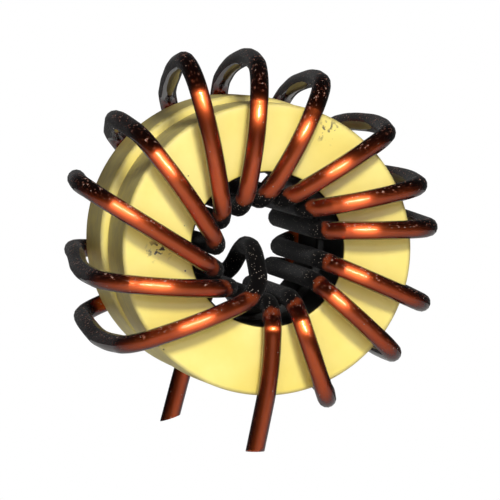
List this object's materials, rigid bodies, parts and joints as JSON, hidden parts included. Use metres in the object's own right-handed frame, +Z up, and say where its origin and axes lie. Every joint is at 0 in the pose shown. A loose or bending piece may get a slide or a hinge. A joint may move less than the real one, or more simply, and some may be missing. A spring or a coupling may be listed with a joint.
{
  "type": "toroidal inductor",
  "caption": "Toroidal inductor with a yellow painted powder core, wound in one layer with thick enamelled copper wire whose cut ends hang down as soldering leads.",
  "frame": {"origin": "on the axis of the front core ring, in the plane where the two rings meet", "axes": "-Y along the core's axis towards the front face, +Z up, with the two leads hanging down; +X to the right seen from the front"},
  "size_m": [0.0419, 0.0299, 0.0452],
  "materials": {
    "core_paint": "satin",
    "wire_enamel": "gloss"
  },
  "bodies": {
    "root": {"front_core_ring": "core_paint", "rear_core_ring": "core_paint", "winding": "wire_enamel"}
  },
  "joints": []
}
